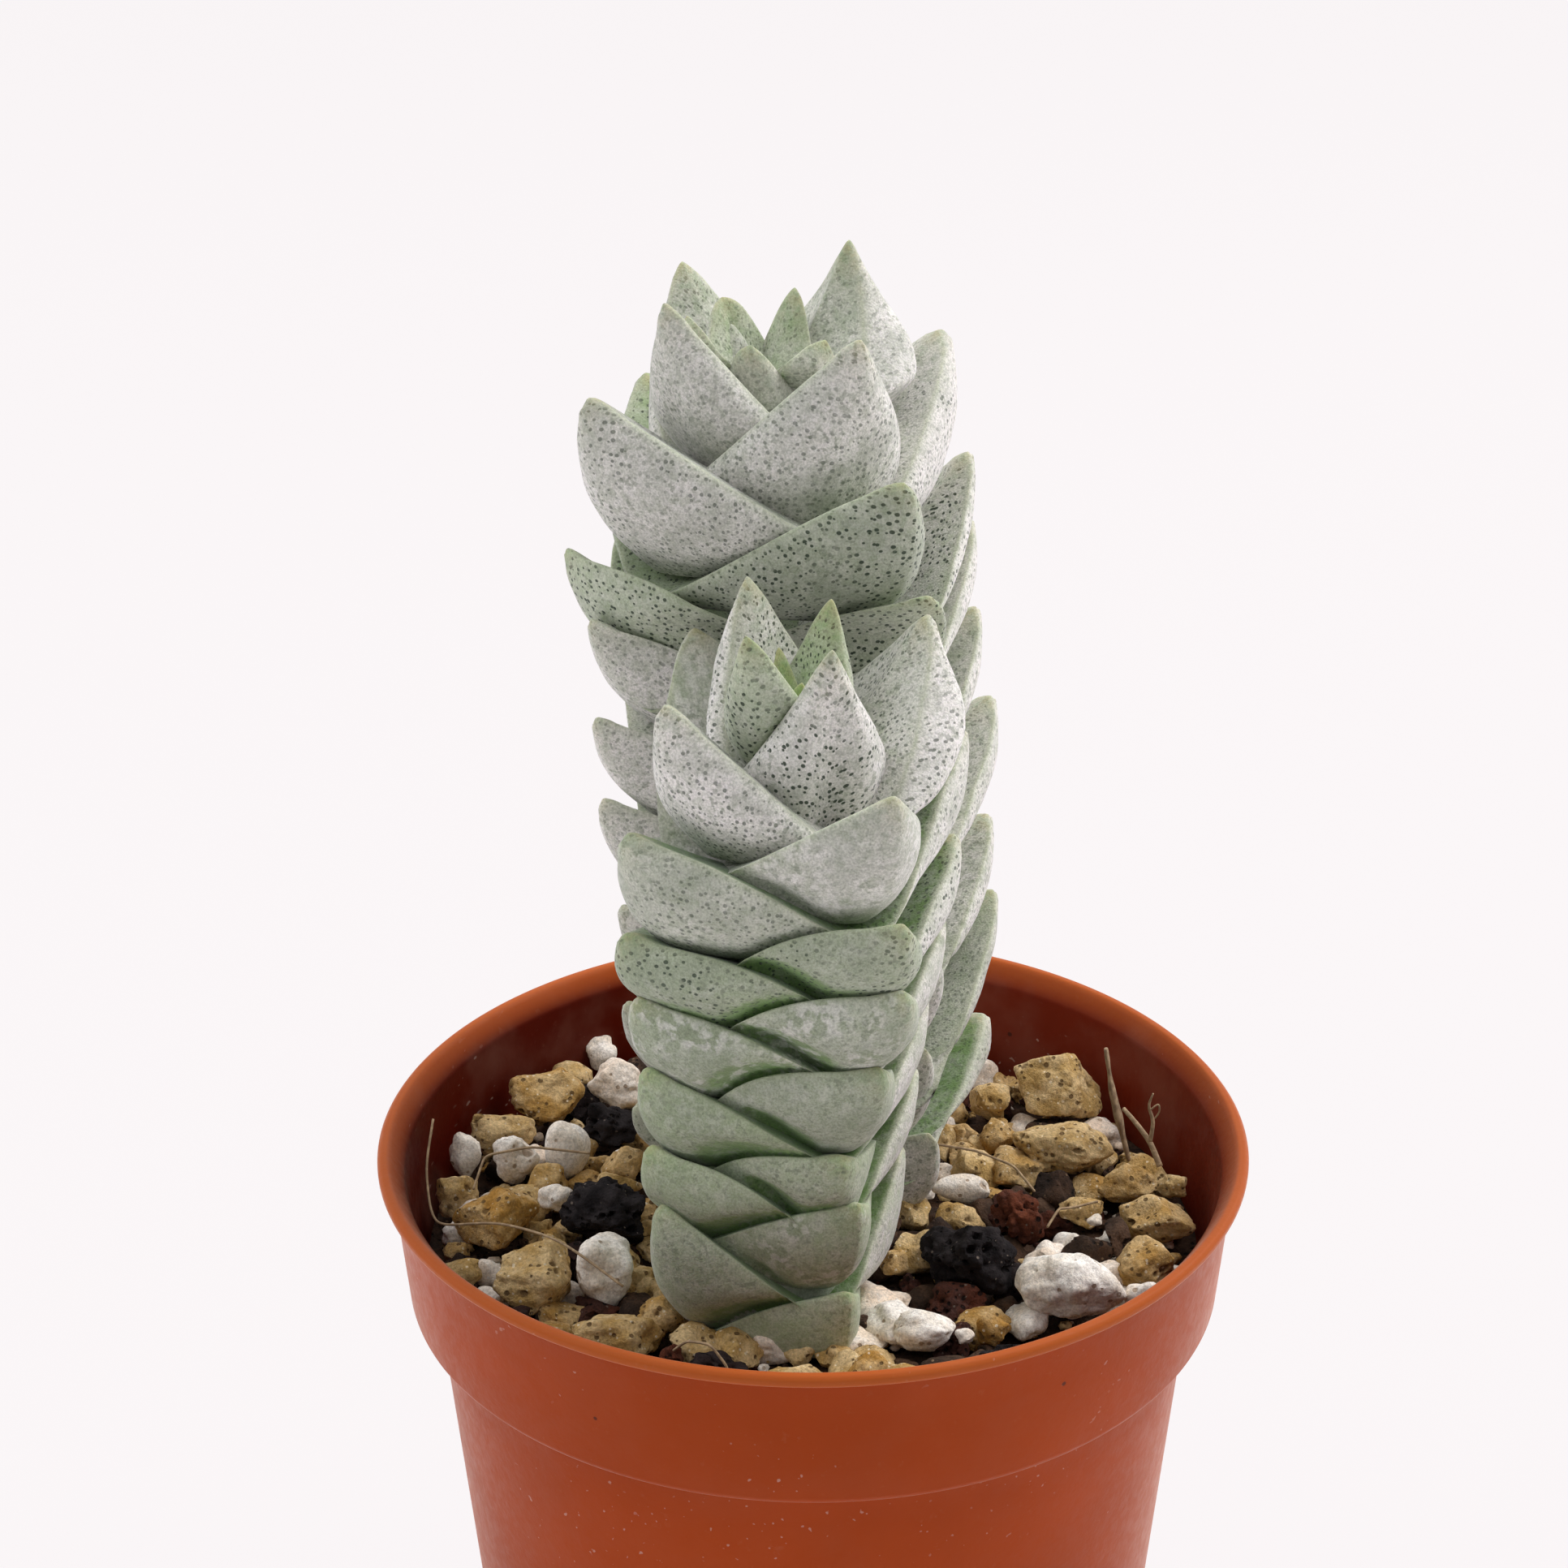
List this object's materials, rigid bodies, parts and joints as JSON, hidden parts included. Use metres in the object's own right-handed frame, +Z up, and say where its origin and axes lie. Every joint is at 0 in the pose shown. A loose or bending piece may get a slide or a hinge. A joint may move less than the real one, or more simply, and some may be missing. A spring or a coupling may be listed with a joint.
{
  "type": "potted succulent",
  "caption": "Small succulent with columns of stacked, keeled grey-green leaf pairs, in a round tapered pot with a collar, soil and a topping of rough stones.",
  "frame": {"origin": "centre of the pot's foot, on the surface that it stands on", "axes": "+Z up along the pot's axis; -Y towards the viewer of the picture, where the shorter column stands; +X to the viewer's right"},
  "size_m": [0.055, 0.055, 0.1052],
  "materials": {
    "terracotta_plastic": "satin thin-walled plastic, terracotta coloured, scuffed",
    "grit_soil": "rough dry soil with grit",
    "leaf": "waxy grey-green leaf skin with a pale bloom and fine dark dots",
    "pumice": "rough pitted tan stone",
    "perlite": "rough chalky white grain",
    "lava": "rough pitted black stone"
  },
  "bodies": {
    "root": {"pot": "terracotta_plastic", "soil": "grit_soil", "rear_stem": "leaf", "front_stem": "leaf", "pumice_stone_01": "pumice", "perlite_stone_02": "perlite", "lava_stone_03": "lava", "pumice_stone_04": "pumice", "perlite_stone_05": "perlite", "perlite_stone_06": "perlite", "pumice_stone_07": "pumice", "lava_stone_08": "lava", "pumice_stone_09": "pumice", "perlite_stone_10": "perlite", "pumice_stone_11": "pumice", "lava_stone_12": "lava", "pumice_stone_13": "pumice", "pumice_stone_14": "pumice", "perlite_stone_15": "perlite", "lava_stone_16": "lava", "perlite_stone_17": "perlite", "pumice_stone_18": "pumice", "pumice_stone_19": "pumice", "pumice_stone_20": "pumice", "pumice_stone_21": "pumice", "lava_stone_22": "lava", "pumice_stone_23": "pumice", "lava_stone_24": "lava", "pumice_stone_25": "pumice", "perlite_stone_26": "perlite", "pumice_stone_27": "pumice"}
  },
  "joints": []
}
